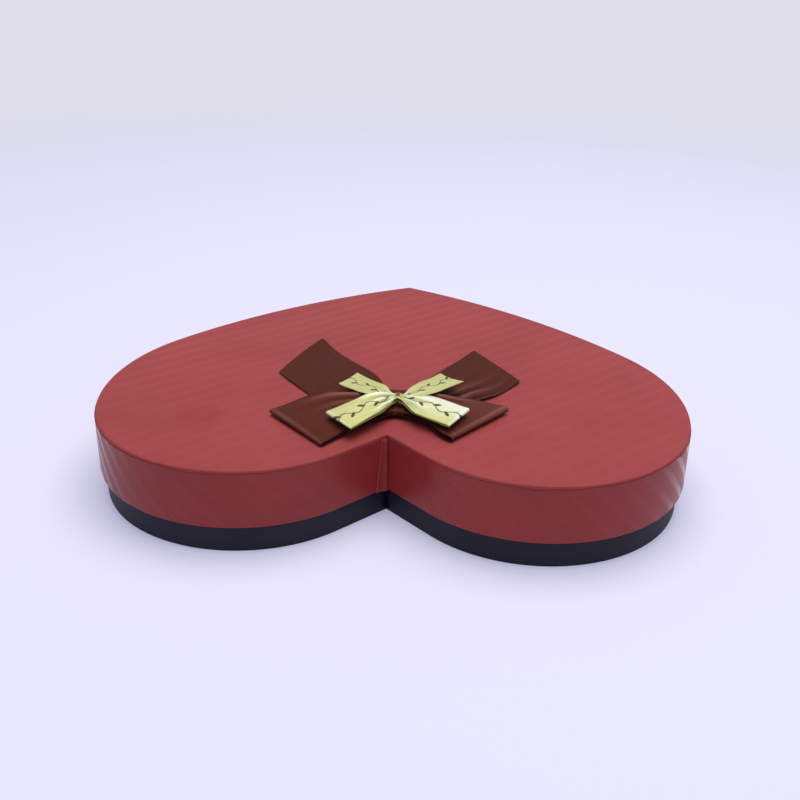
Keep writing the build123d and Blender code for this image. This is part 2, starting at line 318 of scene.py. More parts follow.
def redTopMaterial(look):
    made, tree, shader = newMaterial("redTopPaper")
    place = objectPlace(tree)
    x, y, _ = split(tree, place)
    # the bands run back and to the right, so their count rises square to that
    normal = turn(look["turn"] + 90)
    sideways = calc(tree, "MULTIPLY", x, normal.x / look["pitch"])
    across = calc(tree, "MULTIPLY_ADD", y, normal.y / look["pitch"], sideways)
    colour = stripedPaper(tree, shader, look, place, across)
    # a faint smudge on the left lobe
    apart = addNode(tree, "ShaderNodeVectorMath", operation="DISTANCE")
    tree.links.new(place, apart.inputs[0])
    apart.inputs[1].default_value = look["smudge"]
    smudge = rampTo(tree, apart.outputs["Value"], *look["smudgeReach"], 0.0, look["smudgeShade"])
    smudge = calc(tree, "MULTIPLY", smudge, grain(tree, place, 160.0, 3.0))
    colour = mixColour(tree, smudge, colour, look["edge"])
    # painted shade darkens the rounded fold and the turned-down lip; the same fold value places the pale
    # nicks
    fold = attributeValue(tree, "fold")
    colour = mixColour(tree, calc(tree, "MULTIPLY", fold, look["foldShade"]), colour, look["edge"])
    # pale nicks where the fold is rubbed
    nick = rampTo(tree, grain(tree, place, 520.0, 1.0), 0.72, 0.8)
    nick = calc(tree, "MULTIPLY", nick, rampTo(tree, fold, 0.3, 0.6, 0.0, look["nicks"]))
    colour = mixColour(tree, nick, colour, look["worn"])
    tree.links.new(colour, shader.inputs["Base Color"])
    return made


def redSideMaterial(look):
    made, tree, shader = newMaterial("redSidePaper")
    place = objectPlace(tree)
    # the bands climb the wall at 45 degrees
    slant = calc(tree, "ADD", attributeValue(tree, "along"), split(tree, place)[2])
    across = calc(tree, "MULTIPLY", slant, math.sqrt(0.5) / look["pitch"])
    colour = stripedPaper(tree, shader, look, place, across)
    # a painted shadow line darkens the cut edge where the top sheet overhangs it
    cut = attributeValue(tree, "fold")
    colour = mixColour(tree, calc(tree, "MULTIPLY", cut, look["foldShade"]), colour, look["edge"])
    # a few rubbed specks
    speck = rampTo(tree, grain(tree, place, 700.0, 1.0), 0.74, 0.8)
    patch = rampTo(tree, grain(tree, place, 30.0, 1.0), 0.58, 0.7)
    rubbed = calc(tree, "MULTIPLY", calc(tree, "MULTIPLY", speck, patch), look["rubbed"])
    colour = mixColour(tree, rubbed, colour, look["worn"])
    tree.links.new(colour, shader.inputs["Base Color"])
    return made


def plainPaperMaterial(name, colour, shade, roughness, bump):
    made, tree, shader = newMaterial(name)
    fibres = useGroup(tree, paperGrain, Place=objectPlace(tree))
    fibre = fibres.outputs["Fibre"]
    mottled = mixColour(tree, rampTo(tree, fibres.outputs["Blotch"], 0.3, 0.7), colour, shade)
    flecks = rampTo(tree, fibre, 0.35, 0.65, 0.0, 0.5)
    fill(tree, shader, {
        "Base Color": mixColour(tree, flecks, mottled, colour),
        "Roughness": calc(tree, "MULTIPLY_ADD", fibre, 0.12, roughness),
        "Normal": bumpFrom(tree, fibre, bump),
        "Specular IOR Level": 0.2,
    })
    return made


brownLook = {
    "colour": tone(83, 39, 29),
    "sheen": tone(90, 45, 35),
    "edge": tone(70, 32, 24),
    # pale tone for the painted highlight on crests, dark tone for the painted shade in troughs
    "paintedHighlight": tone(136, 86, 78),
    "paintedShade": tone(40, 14, 12),
    "halfWidth": 0.0175,
    "rough": 0.4,
    "lustre": 0.2,
}
yellowLook = {
    "colour": tone(194, 195, 120),
    "sheen": tone(208, 209, 146),
    "edge": tone(188, 186, 112),
    # pale tone for the painted highlight on crests, dark tone for the painted shade in troughs
    "paintedHighlight": tone(247, 249, 234),
    "paintedShade": tone(172, 168, 92),
    "ink": tone(46, 38, 32),
    "halfWidth": 0.008,
    "rough": 0.36,
    "lustre": 0.24,
}
# the narrow ribbon's back is duller and its print shows through
yellowBackLook = {
    "colour": tone(194, 195, 124),
    "sheen": tone(207, 208, 148),
    "edge": tone(176, 174, 102),
    # pale tone for the painted highlight on crests, dark tone for the painted shade in troughs
    "paintedHighlight": tone(228, 230, 180),
    "paintedShade": tone(160, 156, 84),
    "ink": tone(84, 76, 54),
    "halfWidth": 0.008,
    "rough": 0.42,
    "lustre": 0.18,
}
vine = {
    "wave": 0.0125,
    "swing": 0.0017,
    "stem": 0.00028,
    "leafLong": 0.0019,
    "leafWide": 0.0008,
    "leafLean": 38,
}


def vineMask(tree, place):
    # a plain waving stem with a leaf at each turn, printed along the middle
    along, across, _ = split(tree, place)
    phase = calc(tree, "MULTIPLY", along, 2 * math.pi / vine["wave"])
    stemLine = calc(tree, "MULTIPLY", calc(tree, "SINE", phase), vine["swing"])
    offStem = calc(tree, "ABSOLUTE", calc(tree, "SUBTRACT", across, stemLine))
    mask = rampTo(tree, offStem, vine["stem"] * 1.6, vine["stem"] * 0.6)
    for start, side in ((0.0, 1), (0.5, -1)):
        cell = calc(tree, "FRACT", calc(tree, "ADD", calc(tree, "DIVIDE", along, vine["wave"]), start))
        there = calc(tree, "MULTIPLY", calc(tree, "SUBTRACT", cell, 0.5), vine["wave"])
        high = calc(tree, "SUBTRACT", across, side * vine["swing"] * 0.9)
        # leaf axis leans with the stem
        lean = turn(vine["leafLean"] * side)
        long = calc(tree, "MULTIPLY_ADD", there, lean.x, calc(tree, "MULTIPLY", high, lean.y))
        wide = calc(tree, "MULTIPLY_ADD", there, -lean.y, calc(tree, "MULTIPLY", high, lean.x))
        squares = []
        for away, size in ((long, vine["leafLong"]), (wide, vine["leafWide"])):
            squares.append(calc(tree, "POWER", calc(tree, "ABSOLUTE", calc(tree, "DIVIDE", away, size)), 2))
        leaf = rampTo(tree, calc(tree, "ADD", *squares), 1.2, 0.8)
        mask = calc(tree, "MAXIMUM", mask, leaf)
    return mask


# shares of the weave's edge, of the painted crease highlight and shade, and of the print
satinShares = {"edge": 0.7, "creaseShading": 0.9, "shadingFrom": 0.03, "shadingTo": 0.5, "ink": 0.9}


def satinMaterial(name, look):
    made, tree, shader = newMaterial(name)
    place = uvPlace(tree)
    weave = useGroup(tree, satinWeave, **{"Map": place, "Half Width": look["halfWidth"]})
    streak = rampTo(tree, weave.outputs["Streak"], 0.3, 0.7)
    colour = mixColour(tree, streak, look["colour"], look["sheen"])
    edge = calc(tree, "MULTIPLY", weave.outputs["Edge"], satinShares["edge"])
    colour = mixColour(tree, edge, colour, look["edge"])
    # painted highlight on the crests of the creases and on the rims of the folds, painted shade in their
    # troughs
    creaseShading = attributeValue(tree, "creaseShading")
    for side, label in ((1, "paintedHighlight"), (-1, "paintedShade")):
        first, last = side * satinShares["shadingFrom"], side * satinShares["shadingTo"]
        share = rampTo(tree, creaseShading, first, last, 0.0, satinShares["creaseShading"])
        colour = mixColour(tree, share, colour, look[label])
    if "ink" in look:
        printed = calc(tree, "MULTIPLY", vineMask(tree, place), satinShares["ink"])
        colour = mixColour(tree, printed, colour, look["ink"])
    # satin shines in its own colour, so the lustre is part metallic and hardly specular
    fill(tree, shader, {
        "Base Color": colour,
        "Roughness": calc(tree, "MULTIPLY_ADD", streak, -0.06, look["rough"]),
        "Normal": bumpFrom(tree, weave.outputs["Thread"], 0.00002),
        "Metallic": look["lustre"],
        "Specular IOR Level": 0.02,
        "Specular Tint": look["sheen"],
    })
    return made


def speckledMaterial(name, scale, dark, light, roughness, bump, contrast=None, metallic=0.0):
    made, tree, shader = newMaterial(name)
    speckle = grain(tree, objectPlace(tree), scale)
    share = rampTo(tree, speckle, *contrast) if contrast else speckle
    fill(tree, shader, {
        "Base Color": mixColour(tree, share, dark, light),
        "Roughness": calc(tree, "MULTIPLY_ADD", speckle, 0.2, roughness),
        "Normal": bumpFrom(tree, speckle, bump),
        "Metallic": metallic,
    })
    return made


redTop = redTopMaterial(redTopLook)
redSide = redSideMaterial(redSideLook)
blackPaper = plainPaperMaterial("blackPaper", tone(35, 34, 48), tone(28, 27, 39), roughness=0.5, bump=0.00004)
liningPaper = plainPaperMaterial(
    "liningPaper", tone(236, 233, 226), tone(226, 222, 212), roughness=0.7, bump=0.00004
)
greyBoard = plainPaperMaterial(
    "greyBoard", tone(178, 170, 158), tone(160, 151, 138), roughness=0.8, bump=0.0001
)
brownSatin = satinMaterial("brownSatin", brownLook)
yellowSatin = satinMaterial("yellowSatin", yellowLook)
yellowBack = satinMaterial("yellowBack", yellowBackLook)
goldThread = speckledMaterial(
    "goldThread", 2600.0, tone(78, 52, 26), tone(142, 106, 52),
    roughness=0.28, bump=0.00005, contrast=(0.35, 0.65), metallic=0.6,
)
setGlue = speckledMaterial("setGlue", 300.0, tone(92, 62, 48), tone(118, 84, 64), roughness=0.25, bump=0.0001)
print("materials made")

# Outline of the lid outside its paper, in millimetres
heartShape = {
    "width": 250.0,
    "depth": 204.0,
    "frontRadius": 63.0,
    "sideRadius": 87.0,
    "joinAngle": -10.5,
    "flankRadius": 302.0,
    "shoulderAngle": 45.3,
    "steps": {"shoulder": 12, "front": 60, "side": 24, "flank": 48},
}


def heartCentres(shape):
    step = shape["sideRadius"] - shape["frontRadius"]
    sideX = shape["width"] / 2 - shape["sideRadius"]
    join = turn(shape["joinAngle"]) * step
    front = Vector((sideX + join.x, shape["frontRadius"] - shape["depth"] / 2))
    side = Vector((sideX, front.y - join.y))
    tip = Vector((0, shape["depth"] / 2))
    between = tip - side
    reach = shape["flankRadius"] - shape["sideRadius"]
    along = (reach**2 - shape["flankRadius"] ** 2 + between.length**2) / (2 * between.length)
    across = math.sqrt(reach**2 - along**2)
    unit = between.normalized()
    flank = side + unit * along + Vector((-unit.y, unit.x)) * across
    return front, side, flank


def heartOutline(inset):
    # from the cleft round the right lobe, the tip and the left lobe, back into the cleft
    shape = heartShape
    front, side, flank = heartCentres(shape)
    steps = shape["steps"]
    normal = -turn(shape["shoulderAngle"])
    run = Vector((-normal.y, normal.x))
    shoulder = front + normal * (shape["frontRadius"] - inset)
    cleft = shoulder - run * (shoulder.x / run.x)
    frontStart = shape["shoulderAngle"] - 180
    flankStart = math.degrees(math.atan2(side.y - flank.y, side.x - flank.x))
    flankEnd = math.degrees(math.acos(-flank.x / (shape["flankRadius"] - inset)))
    half = [cleft.lerp(shoulder, i / steps["shoulder"]) for i in range(steps["shoulder"])]
    arcs = (
        (front, shape["frontRadius"], frontStart, shape["joinAngle"], steps["front"]),
        (side, shape["sideRadius"], shape["joinAngle"], flankStart, steps["side"]),
        (flank, shape["flankRadius"], flankStart, flankEnd, steps["flank"]),
    )
    for centre, radius, first, last, count in arcs:
        for i in range(count):
            half.append(centre + turn(first + (last - first) * i / count) * (radius - inset))
    tip = flank + turn(flankEnd) * (shape["flankRadius"] - inset)
    mirrored = [Vector((-place.x, place.y)) for place in reversed(half)]
    return half + [Vector((0, tip.y))] + mirrored


outerLine = heartOutline(0)
lengths = [0.0]
for before, after in zip(outerLine, outerLine[1:]):
    lengths.append(lengths[-1] + (after - before).length)


def placed(outline, height, station):
    where = outline[station]
    up = height(station) if callable(height) else height
    return Vector((where.x, where.y, up)) * mm


def addPiece(name, addPrimitive, **settings):
    bpy.ops.object.select_all(action="DESELECT")
    addPrimitive(**settings)
    piece = bpy.context.object
    piece.name = piece.data.name = name
    return piece


def startRing(name, inset, height, filled):
    # a circle laid out along the heart; an open one is parted in the cleft
    outline = heartOutline(inset)
    count = len(outline) - 1 if filled else len(outline)
    kind = "NGON" if filled else "NOTHING"
    circle = bpy.ops.mesh.primitive_circle_add
    piece = addPiece(name, circle, vertices=count, radius=0.1, fill_type=kind)
    mesh = piece.data
    for label, number in (("along", "FLOAT"), ("station", "INT"), ("fold", "FLOAT")):
        mesh.attributes.new(label, number, "POINT")
    for i, vertex in enumerate(mesh.vertices):
        vertex.co = placed(outline, height, i)
        mesh.attributes["along"].data[i].value = lengths[i] * mm
        mesh.attributes["station"].data[i].value = i
    bpy.ops.object.mode_set(mode="EDIT")
    bpy.ops.mesh.select_mode(type="EDGE")
    bpy.ops.mesh.select_all(action="DESELECT")
    form = bmesh.from_edit_mesh(mesh)
    layer = form.verts.layers.int["station"]
    for edge in form.edges:
        ends = sorted(vertex[layer] for vertex in edge.verts)
        edge.select_set(filled or ends == [0, count - 1])
    form.select_flush(True)
    bmesh.update_edit_mesh(mesh)
    if not filled:
        bpy.ops.mesh.delete(type="EDGE")
        bpy.ops.mesh.select_all(action="SELECT")
    return piece


def nextRing(piece, inset, height, fold=0.0):
    # extrudes the last ring and sets it on the heart at a new inset and height
    outline = heartOutline(inset)
    bpy.ops.mesh.extrude_edges_move()
    form = bmesh.from_edit_mesh(piece.data)
    station = form.verts.layers.int["station"]
    shade = form.verts.layers.float["fold"]
    for vertex in form.verts:
        if vertex.select:
            vertex.co = placed(outline, height, vertex[station])
            vertex[shade] = fold
    bmesh.update_edit_mesh(piece.data)


def arcRings(piece, centreInset, centreHeight, radius, first, last, count, fold=0.0):
    # rounds an edge: angle 0 is outwards, 90 is up
    for i in range(1, count + 1):
        at = turn(first + (last - first) * i / count) * radius
        nextRing(piece, centreInset - at.x, centreHeight + at.y, fold)


inwards, bothWays = -1.0, 0.0  # the sides on which a sheet is thickened


def thicken(piece, thickness, side):
    wall = piece.modifiers.new("sheet", "SOLIDIFY")
    wall.thickness = thickness * mm
    wall.offset = side
    bpy.ops.object.modifier_apply(modifier=wall.name)


def finishPiece(piece, material, body, slot, *stoodFor):
    piece.data.materials.append(material)
    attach(piece, body)
    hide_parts(*stoodFor)


def closeRings(piece, thickness, material, body, slot, *stoodFor):
    bpy.ops.mesh.select_all(action="SELECT")
    bpy.ops.mesh.normals_make_consistent(inside=False)
    bpy.ops.object.mode_set(mode="OBJECT")
    bpy.ops.object.shade_smooth_by_angle(angle=math.radians(40))
    if thickness:
        thicken(piece, thickness, inwards)
    finishPiece(piece, material, body, slot, *stoodFor)


# Lid: top sheet with its fold, side wrap with a hand-cut upper edge
topSheet = {
    "inset": 0.2,
    "top": 37.0,
    "edgeRadius": 0.65,
    "foldShadeAndWear": 0.45,
    "foldDrop": 0.6,
    "turnDown": 8.0,
    "thickness": 0.19,
}


def makeTopSheet(setup):
    radius = setup["edgeRadius"]
    piece = startRing("lidTopPaper", setup["inset"] + radius, setup["top"], True)
    # the rounded edge and the lip carry the fold value that paints their shade and places the rubbed nicks
    arcRings(piece, setup["inset"] + radius, setup["top"] - radius, radius, 90, 0, 5, setup["foldShadeAndWear"])
    nextRing(piece, setup["inset"], setup["top"] - radius - setup["foldDrop"], 1.0)
    nextRing(piece, setup["inset"], setup["top"] - setup["turnDown"], 1.0)
    # back up inside and across, so that the sheet is closed
    within = setup["inset"] + setup["thickness"]
    nextRing(piece, within, setup["top"] - setup["turnDown"], 1.0)
    nextRing(piece, within, setup["top"] - setup["thickness"])
    bpy.ops.mesh.edge_face_add()
    closeRings(piece, 0, redTop, "lid", "red_paper", "lid_top_wrap")


sideWrap = {
    "rim": 11.7,
    "inner": 1.8,
    "turnIn": 9.0,
    "edgeRadius": 0.85,
    "wallRise": 22.0,
    "topEdge": 35.75,
    "unevenness": 0.45,
    "snipFrom": 0.28,
    "snipDepth": 2.0,
    # the last rings climb to the cut edge, and their last value sets the painted shadow line along it
    "edgeRings": [(0.7, 0.0, 0.0), (0.25, 0.0, 0.35), (0.0, -0.02, 1.0)],  # below the cut, inset, tone
    "thickness": 0.19,
}


def edgeNoise(along, pace, row):
    return noise.noise(Vector((along * pace, row, 0.0)))


def cutEdge(station):
    # the upper edge wanders as a hand-laid sheet does, and dips at a few snips
    along = lengths[station]
    wander = edgeNoise(along, 0.035, 3.1) + 0.5 * edgeNoise(along, 0.16, 7.7)
    dip = max(edgeNoise(along, 0.09, 12.5) - sideWrap["snipFrom"], 0) * sideWrap["snipDepth"]
    return sideWrap["topEdge"] + sideWrap["unevenness"] * wander - dip


def makeSideWrap(setup):
    radius = setup["edgeRadius"]
    piece = startRing("lidSidePaper", setup["inner"], setup["rim"] + setup["turnIn"], False)
    nextRing(piece, setup["inner"], setup["rim"] + radius)
    arcRings(piece, setup["inner"] - radius, setup["rim"] + radius, radius, 180, 270, 5)
    arcRings(piece, radius, setup["rim"] + radius, radius, 270, 360, 5)
    for share in (0.25, 0.5, 0.75):
        nextRing(piece, 0.0, setup["rim"] + radius + share * setup["wallRise"])
    # the rings at the cut edge carry the painted shadow line
    for below, inset, shade in setup["edgeRings"]:
        nextRing(piece, inset, lambda station: cutEdge(station) - below, shade)
    closeRings(piece, setup["thickness"], redSide, "lid", "red_paper", "lid_side_wrap")


makeTopSheet(topSheet)
makeSideWrap(sideWrap)
print("lid papers made")

cleftStrip = {
    "bottom": 5.2,
    "top": 2.2,
    "rightShare": 0.25,
    "low": 11.72,
    "high": 35.4,
    "hollow": 0.28,
    "droop": 0.35,
    "forward": 0.06,
    "thickness": 0.2,
}


def makeCleftStrip(setup):
    # the paper bridges the corner where it can't be pressed right in
    gridSize = 0.02
    grid = bpy.ops.mesh.primitive_grid_add
    piece = addPiece("cleftStrip", grid, x_subdivisions=8, y_subdivisions=16, size=gridSize)
    mesh = piece.data
    corner = outerLine[0]
    toRight = (outerLine[1] - corner).normalized()
    toLeft = Vector((-toRight.x, toRight.y))
    for label in ("along", "fold"):
        mesh.attributes.new(label, "FLOAT", "POINT")
    for i, vertex in enumerate(mesh.vertices):
        across = vertex.co.x / gridSize + 0.5
        rise = vertex.co.y / gridSize + 0.5
        width = setup["bottom"] + (setup["top"] - setup["bottom"]) * rise
        left = corner + toLeft * width
        right = corner + toRight * width * setup["rightShare"]
        where = left.lerp(right, across)
        bow = math.sin(math.pi * across) * setup["hollow"] * (1 - 0.5 * rise)
        droop = setup["droop"] * smooth(0.5, 1.0, across) * (1 - rise) ** 6
        vertex.co = Vector((where.x, where.y + bow - setup["forward"], 0)) * mm
        vertex.co.z = (setup["low"] + (setup["high"] - setup["low"]) * rise - droop) * mm
        mesh.attributes["along"].data[i].value = across * width * mm
    bpy.ops.object.mode_set(mode="EDIT")
    bpy.ops.mesh.select_all(action="SELECT")
    bpy.ops.mesh.normals_make_consistent(inside=False)
    bpy.ops.object.mode_set(mode="OBJECT")
    if mesh.polygons[0].normal.y > 0:
        mesh.flip_normals()
    bpy.ops.object.shade_smooth()
    thicken(piece, setup["thickness"], inwards)
    finishPiece(piece, redSide, "lid", "red_paper", "lid_cleft_strip")


makeCleftStrip(cleftStrip)

# Base: black paper turned under, up the wall, over the rim and down inside
baseWrap = {
    "outer": 2.3,
    "inner": 3.9,
    "bottom": 0.2,
    "rim": 34.5,
    "turnUnder": 10.0,
    "turnIn": 12.0,
    "edgeRadius": 0.6,
    "wallRise": 32.7,
    "thickness": 0.19,
}


def makeBaseWrap(setup):
    radius = setup["edgeRadius"]
    rimRadius = (setup["inner"] - setup["outer"]) / 2
    middle = (setup["inner"] + setup["outer"]) / 2
    piece = startRing("baseSidePaper", setup["outer"] + setup["turnUnder"], setup["bottom"], False)
    nextRing(piece, setup["outer"] + radius, setup["bottom"])
    arcRings(piece, setup["outer"] + radius, setup["bottom"] + radius, radius, 270, 360, 4)
    for share in (0.33, 0.66, 1.0):
        nextRing(piece, setup["outer"], setup["bottom"] + radius + share * setup["wallRise"])
    arcRings(piece, middle, setup["rim"] - rimRadius, rimRadius, 0, 180, 8)
    nextRing(piece, setup["inner"], setup["rim"] - setup["turnIn"])
    closeRings(piece, setup["thickness"], blackPaper, "base", "black_paper", "base_side_wrap")


makeBaseWrap(baseWrap)
print("base paper made")

# Bow: plan and heights in millimetres above the lid
lidTop = topSheet["top"]
brownRibbon = {"knot": (2.5, -43.0), "width": 35.0, "gather": 20.0, "band": 9.0, "sheet": 0.3}
yellowRibbon = {"knot": (3.0, -46.0), "width": 16.0, "gather": 7.0, "band": 2.0, "sheet": 0.25}


def stopsValue(stops, share):
    # eases from each stop to the next
    for (before, low), (after, high) in zip(stops, stops[1:]):
        if share <= after:
            return low + (high - low) * smooth(before, after, share)
    return stops[-1][1]


def loopOpening(ribbon, half, along, across):
    # how far the edge has come from the gather to the full width
    if across <= 0 and "frontOpen" in half:
        return stopsValue(half["frontOpen"], along)
    begin = 0.5 * ribbon["band"] / half["reach"]
    straight = min(max((along - begin) / (1 - begin), 0.0), 1.0)
    rounded = smooth(begin, half["opening"], along)
    curve = half["rearRound"] if across > 0 else half["frontRound"]
    return straight + (rounded - straight) * curve


def loopPlan(ribbon, half, along, across):
    # one thread line from the pinch at the knot to the loop's end
    knot = Vector(ribbon["knot"])
    way = turn(half["bearing"])
    slant = abs(math.sin(math.radians(half["edge"] - half["bearing"])))
    pinched = Vector((0, ribbon["gather"] / 2))
    opened = turn(half["edge"]) * (ribbon["width"] / 2 / slant)
    opening = loopOpening(ribbon, half, along, across)
    return knot + way * half["reach"] * along + pinched.lerp(opened, opening) * across


def tailPlan(ribbon, half, along, across):
    # a tail that leaves the knot, bends to its own heading and is cut on the slant
    knot = Vector(ribbon["knot"])
    way = turn(half["heading"])
    end = knot + turn(half["bearing"]) * half["reach"]
    bend = end - way * half["straight"]
    slant = math.radians(half["edge"] - half["heading"])
    cut = ribbon["width"] / 2 / math.tan(slant) * math.copysign(1, math.sin(slant))
    share = along + across * cut / (2 * half["straight"]) * smooth(0.3, 1.0, along)
    if share < 1:
        middle = knot * (1 - share) ** 2 + bend * 2 * share * (1 - share) + end * share**2
        tangent = (bend - knot) * (1 - share) + (end - bend) * share
    else:
        middle = end + way * 2 * half["straight"] * (share - 1)
        tangent = way
    side = Vector((-tangent.y, tangent.x)).normalized() * math.copysign(1, math.sin(slant))
    opening = stopsValue(half["rearOpen"] if across > 0 else half["frontOpen"], along)
    halfWidth = (ribbon["gather"] + (ribbon["width"] - ribbon["gather"]) * opening) / 2
    crosswise = Vector((0, 1)).lerp(side, smooth(0.5 * ribbon["band"] / half["reach"], 0.4, along))
    bow = way * half["endBow"] * (1 - across**2) * smooth(0.7, 1.0, along)
    return middle + crosswise * halfWidth * across + bow


pleatForm = {"before": 0.5, "after": 4.0, "fade": 1.2, "wander": 0.12, "sharpness": 0.8}


def pleatHeight(ribbon, half, along, across):
    # creases that fan out of the knot and run out in the flat of the ribbon
    bandEdge = ribbon["band"] / 2
    begin = smooth(bandEdge - pleatForm["before"], bandEdge + pleatForm["after"], along * half["reach"])
    fade = max(0.0, 1 - along / half["pleatReach"]) ** pleatForm["fade"]
    wander = noise.noise(Vector((along * 4.0, across * 2.0, half["reach"])))
    bend = across + pleatForm["wander"] * wander
    wave = math.cos(math.pi * half["pleats"] * bend + half["pleatShift"])
    sharp = math.copysign(abs(wave) ** pleatForm["sharpness"], wave)
    lean = half["pleatLean"]
    onSide = ((1 + math.copysign(across, across * lean)) / 2) ** abs(lean)
    return begin * fade * onSide * sharp


def gridSheet(name, counts, placeAt, thickness, material, slot, node):
    # a grid laid out row by row; each point carries its place on the flat ribbon and the painted highlight or
    # shade of its crease
    rows, columns = counts
    grid = bpy.ops.mesh.primitive_grid_add
    piece = addPiece(name, grid, x_subdivisions=columns, y_subdivisions=rows, size=2.0)
    mesh = piece.data
    flat = []
    creaseShadings = []
    for vertex in mesh.vertices:
        where, onFlat, creaseShading = placeAt(vertex.co.y / 2 + 0.5, vertex.co.x)
        vertex.co = where
        flat.append(onFlat)
        creaseShadings.append(creaseShading)
    mesh.attributes.new("creaseShading", "FLOAT", "POINT").data.foreach_set("value", creaseShadings)
    layer = mesh.uv_layers.active or mesh.uv_layers.new()
    layer.name = "ribbonMap"
    for loop in mesh.loops:
        layer.data[loop.index].uv = flat[loop.vertex_index]
    bpy.ops.object.shade_smooth()
    thicken(piece, thickness, bothWays)
    soft = piece.modifiers.new("soft", "SUBSURF")
    soft.levels = soft.render_levels = 1
    bpy.ops.object.modifier_apply(modifier=soft.name)
    finishPiece(piece, material, "lid", slot, node)
    return piece


# how a loop's rows are shared out: over the top, round the end fold and back underneath
loopRows = {"over": 0.55, "fold": 0.15, "under": 0.3}


def loopPlace(ribbon, half):
    foldRadius = (half["over"][-1][1] - half["under"][-1][1]) / 2
    flatEnd = 1 - foldRadius / half["reach"]
    way = turn(half["bearing"])
    total = 2 * half["reach"] + math.pi * foldRadius

    def overHeight(share, across):
        rear = ((1 + across) / 2) ** 1.5
        front = ((1 - across) / 2) ** 1.5
        height = stopsValue(half["over"], share)
        height += stopsValue(half["rearRise"], share) * rear - stopsValue(half["frontDrop"], share) * front
        # a fold of the cloth rolls forward over the front of the tie
        roll = half["knotLift"] * smooth(-0.1, -0.45, across) * (1 - smooth(0.06, 0.22, share))
        return height + roll + half["belly"] * (1 - across**2) * math.sin(math.pi * share)

    def underHeight(share, across):
        return stopsValue(half["under"], share) - half["droop"] * ((1 - across) / 2) ** 2 * share**2

    # painted sheen over the loop, lighter towards its rear edge
    def paintedSheenShare(across):
        return half["paintedSheen"] * (0.6 + 0.4 * across)

    def placeAt(share, across):
        creaseShading = 0.0
        if share < loopRows["over"]:
            along = share / loopRows["over"] * flatEnd
            plan = loopPlan(ribbon, half, along, across)
            creaseShading = pleatHeight(ribbon, half, along, across)
            height = overHeight(along / flatEnd, across) + half["pleatDepth"] * creaseShading
            # the crease wave is painted as highlight and shade, with a painted highlight on the rim by the
            # fold and a painted sheen over the loop
            creaseShading *= half["pleatShading"]
            creaseShading += half["rim"] * smooth(0.96, 1.0, along / flatEnd)
            creaseShading += paintedSheenShare(across) * smooth(0.1, 0.4, along)
            flatAlong = along * half["reach"]
        elif share < loopRows["over"] + loopRows["fold"]:
            angle = math.pi * (share - loopRows["over"]) / loopRows["fold"]
            top, bottom = overHeight(1, across), underHeight(1, across)
            radius = (top - bottom) / 2
            plan = loopPlan(ribbon, half, flatEnd, across) + way * radius * math.sin(angle)
            height = (top + bottom) / 2 + radius * math.cos(angle)
            # painted highlight on the upper face of the end fold, together with the painted sheen
            creaseShading = (half["rim"] + paintedSheenShare(across)) * (1 - smooth(0.5, 0.8, angle / math.pi))
            flatAlong = flatEnd * half["reach"] + foldRadius * angle
        else:
            along = (1 - share) / loopRows["under"] * flatEnd
            plan = loopPlan(ribbon, half, along, across)
            height = underHeight(along / flatEnd, across)
            flatAlong = total - along * half["reach"]
        where = Vector((plan.x, plan.y, lidTop + height)) * mm
        return where, (flatAlong * mm, across * ribbon["width"] / 2 * mm), creaseShading

    return placeAt, total


def tailPlace(ribbon, half):
    def placeAt(share, across):
        plan = tailPlan(ribbon, half, share, across)
        height = stopsValue(half["heights"], share)
        height += half["curl"] * abs(across) ** 2.5 * smooth(0.1, 0.9, share)
        height += half["lean"] * across * smooth(0.2, 1.0, share)
        height += stopsValue(half["rearLift"], share) * ((1 + across) / 2) ** 2
        height += stopsValue(half["frontLift"], share) * ((1 - across) / 2) ** 2
        creaseShading = pleatHeight(ribbon, half, share, across)
        height += half["pleatDepth"] * creaseShading
        # the crease wave is also painted, as highlight on the crests and shade in the troughs
        creaseShading *= half["pleatShading"]
        where = Vector((plan.x, plan.y, lidTop + height)) * mm
        return where, (share * half["reach"] * mm, across * ribbon["width"] / 2 * mm), creaseShading

    return placeAt, half["reach"]


# Each half of the bows: angles in degrees, and lists of (share of the reach, value)
# In the loops the rim entry paints a highlight along the end fold and the sheen entry paints a lighter sheen
# over the top; the pleat share paints highlight and shade on the creases
level = [(0.0, 0.0), (1.0, 0.0)]
brownLoop = {
    "over": [(0.0, 3.6), (0.12, 3.7), (0.42, 5.0), (1.0, 3.4)],
    "under": [(0.0, 2.4), (0.3, 2.0), (1.0, 0.8)],
    "belly": 0.4, "knotLift": 0.0, "pleatShading": 1.0, "pleatDepth": 1.5, "pleatLean": 1.8,
}
brownLoops = {
    "brownLoopLeft": {
        **brownLoop,
        "reach": 46.8, "bearing": 211.5, "edge": 133.0, "opening": 0.6, "rearRound": 1.0,
        "frontOpen": [(0.0, 0.0), (1.6, 1.5)],
        "rearRise": [(0.0, 0.0), (0.25, 0.1), (0.55, 1.2), (1.0, -0.7)],
        "frontDrop": [(0.0, 0.0), (0.12, 0.2), (0.45, 2.0), (1.0, 1.6)],
        "rim": 0.17, "paintedSheen": 0.1, "droop": 0.2, "pleats": 4.2, "pleatShift": 2.0, "pleatReach": 0.8,
    },
    "brownLoopRight": {
        **brownLoop,
        "reach": 38.2, "bearing": -23.0, "edge": 50.0, "opening": 0.62, "rearRound": 0.4,
        "frontOpen": [(0.0, 0.0), (0.2, 0.0), (1.05, 1.0)],
        "rearRise": [(0.0, 0.0), (0.25, 0.0), (0.55, -0.4), (1.0, 0.0)],
        "frontDrop": [(0.0, 0.0), (0.12, 0.2), (0.45, 1.8), (1.0, 0.5)],
        "rim": 0.18, "paintedSheen": 0.2, "droop": 0.1, "pleats": 5.4, "pleatShift": 5.2, "pleatReach": 0.72,
    },
}
brownTail = {"pleatShading": 1.0, "pleatDepth": 0.7}
